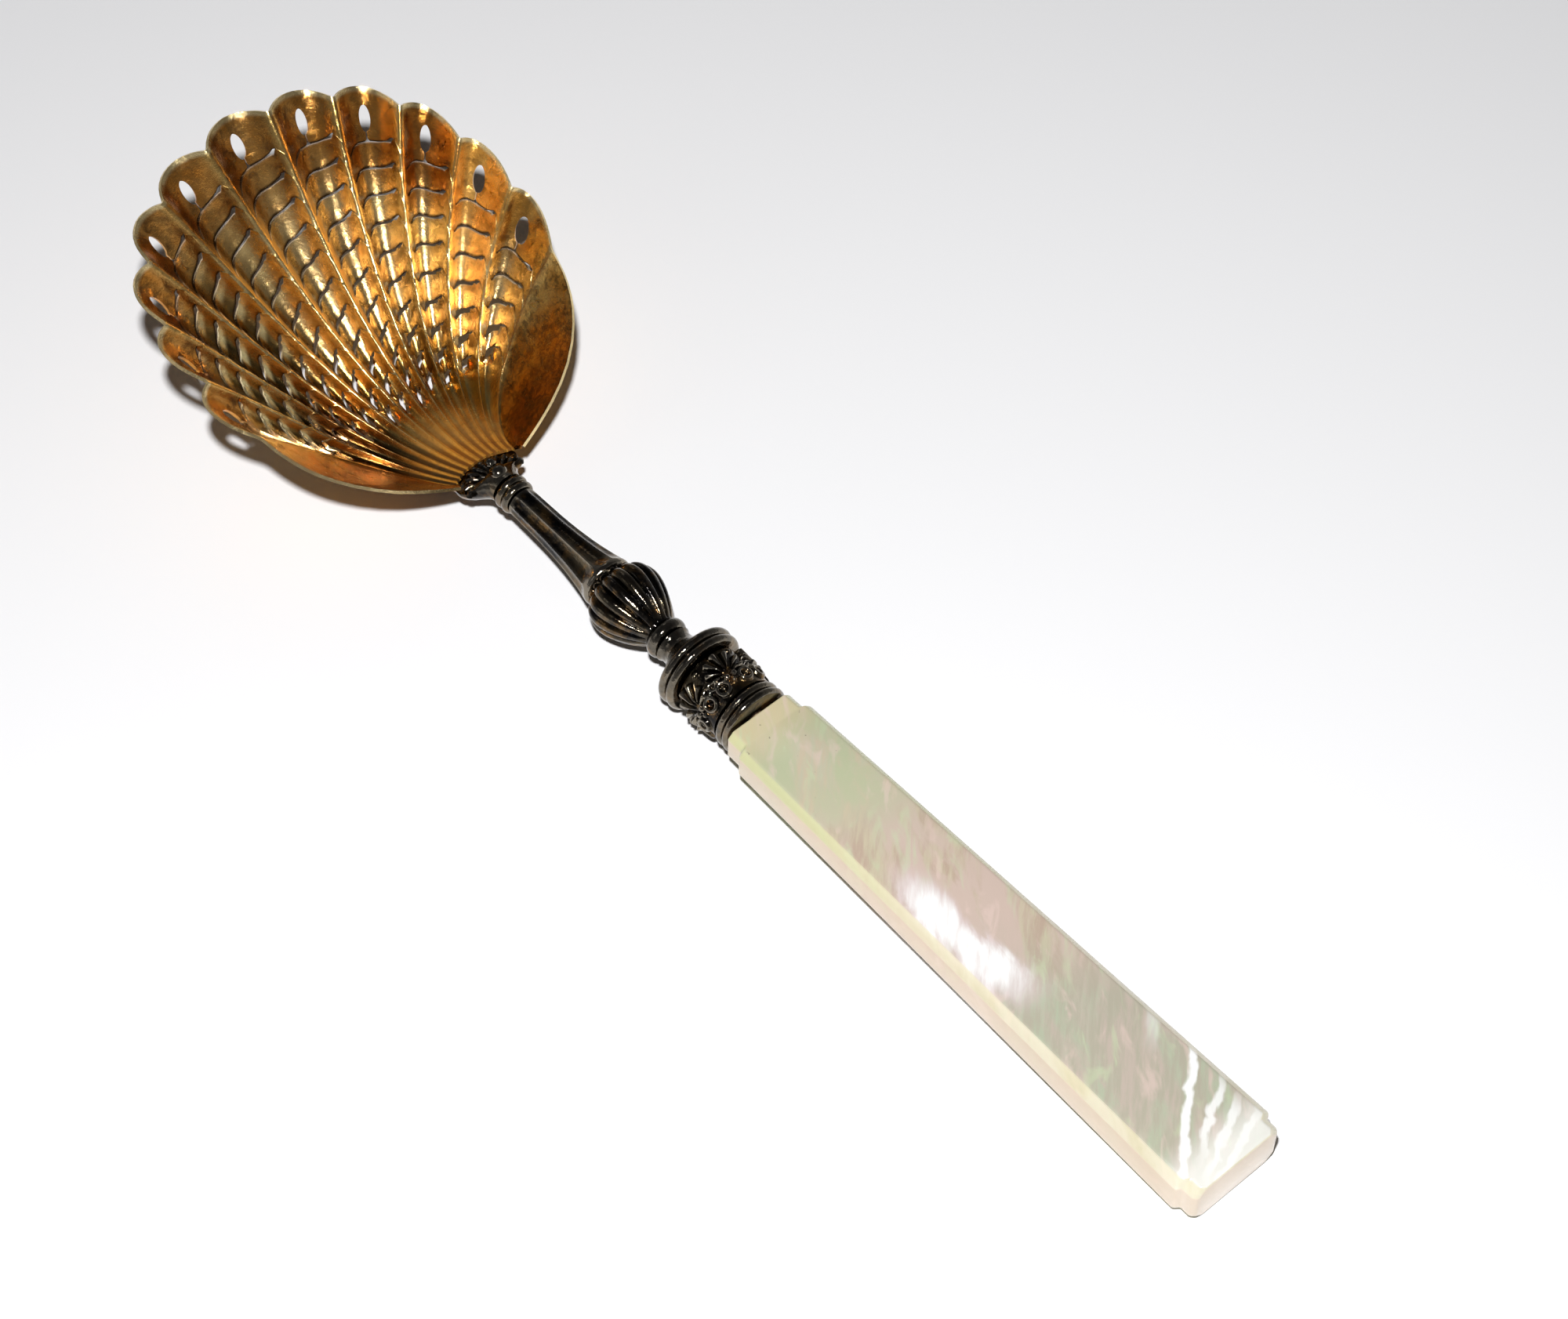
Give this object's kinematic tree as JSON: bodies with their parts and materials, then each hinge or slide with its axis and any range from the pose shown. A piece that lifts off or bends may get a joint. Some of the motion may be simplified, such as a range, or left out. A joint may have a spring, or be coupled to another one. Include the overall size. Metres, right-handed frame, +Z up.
{
  "type": "sugar sifter spoon",
  "caption": "Pierced gilt shell bowl on a leaf clasp and a fluted baluster stem, with an ornamented ferrule and a mother-of-pearl handle, for sifting sugar over food.",
  "frame": {"origin": "on the surface that the spoon lies on, under the middle of its overall box", "axes": "+X from the handle's end to the bowl's tip, +Z up out of the bowl's mouth, +Y to the left seen from the handle"},
  "size_m": [0.1964, 0.058, 0.0322],
  "materials": {
    "gilt_metal": "worn gilding, polished, with brown wear",
    "dark_silver": "tarnished cast silver with bright high points",
    "tang_steel": "plain drawn steel",
    "cement": "set cutler's cement",
    "pearl": "polished mother-of-pearl"
  },
  "bodies": {
    "root": {"shell_bowl": "gilt_metal", "leaf_clasp": "dark_silver", "stem_collar": "dark_silver", "fluted_shank": "dark_silver", "gadrooned_knop": "dark_silver", "neck_ring": "dark_silver", "ferrule_cap": "dark_silver", "ferrule_sleeve": "dark_silver", "ferrule_bead": "dark_silver", "ferrule_cement": "cement", "tang": "tang_steel", "tang_cement": "cement", "pearl_handle": "pearl"}
  },
  "joints": []
}
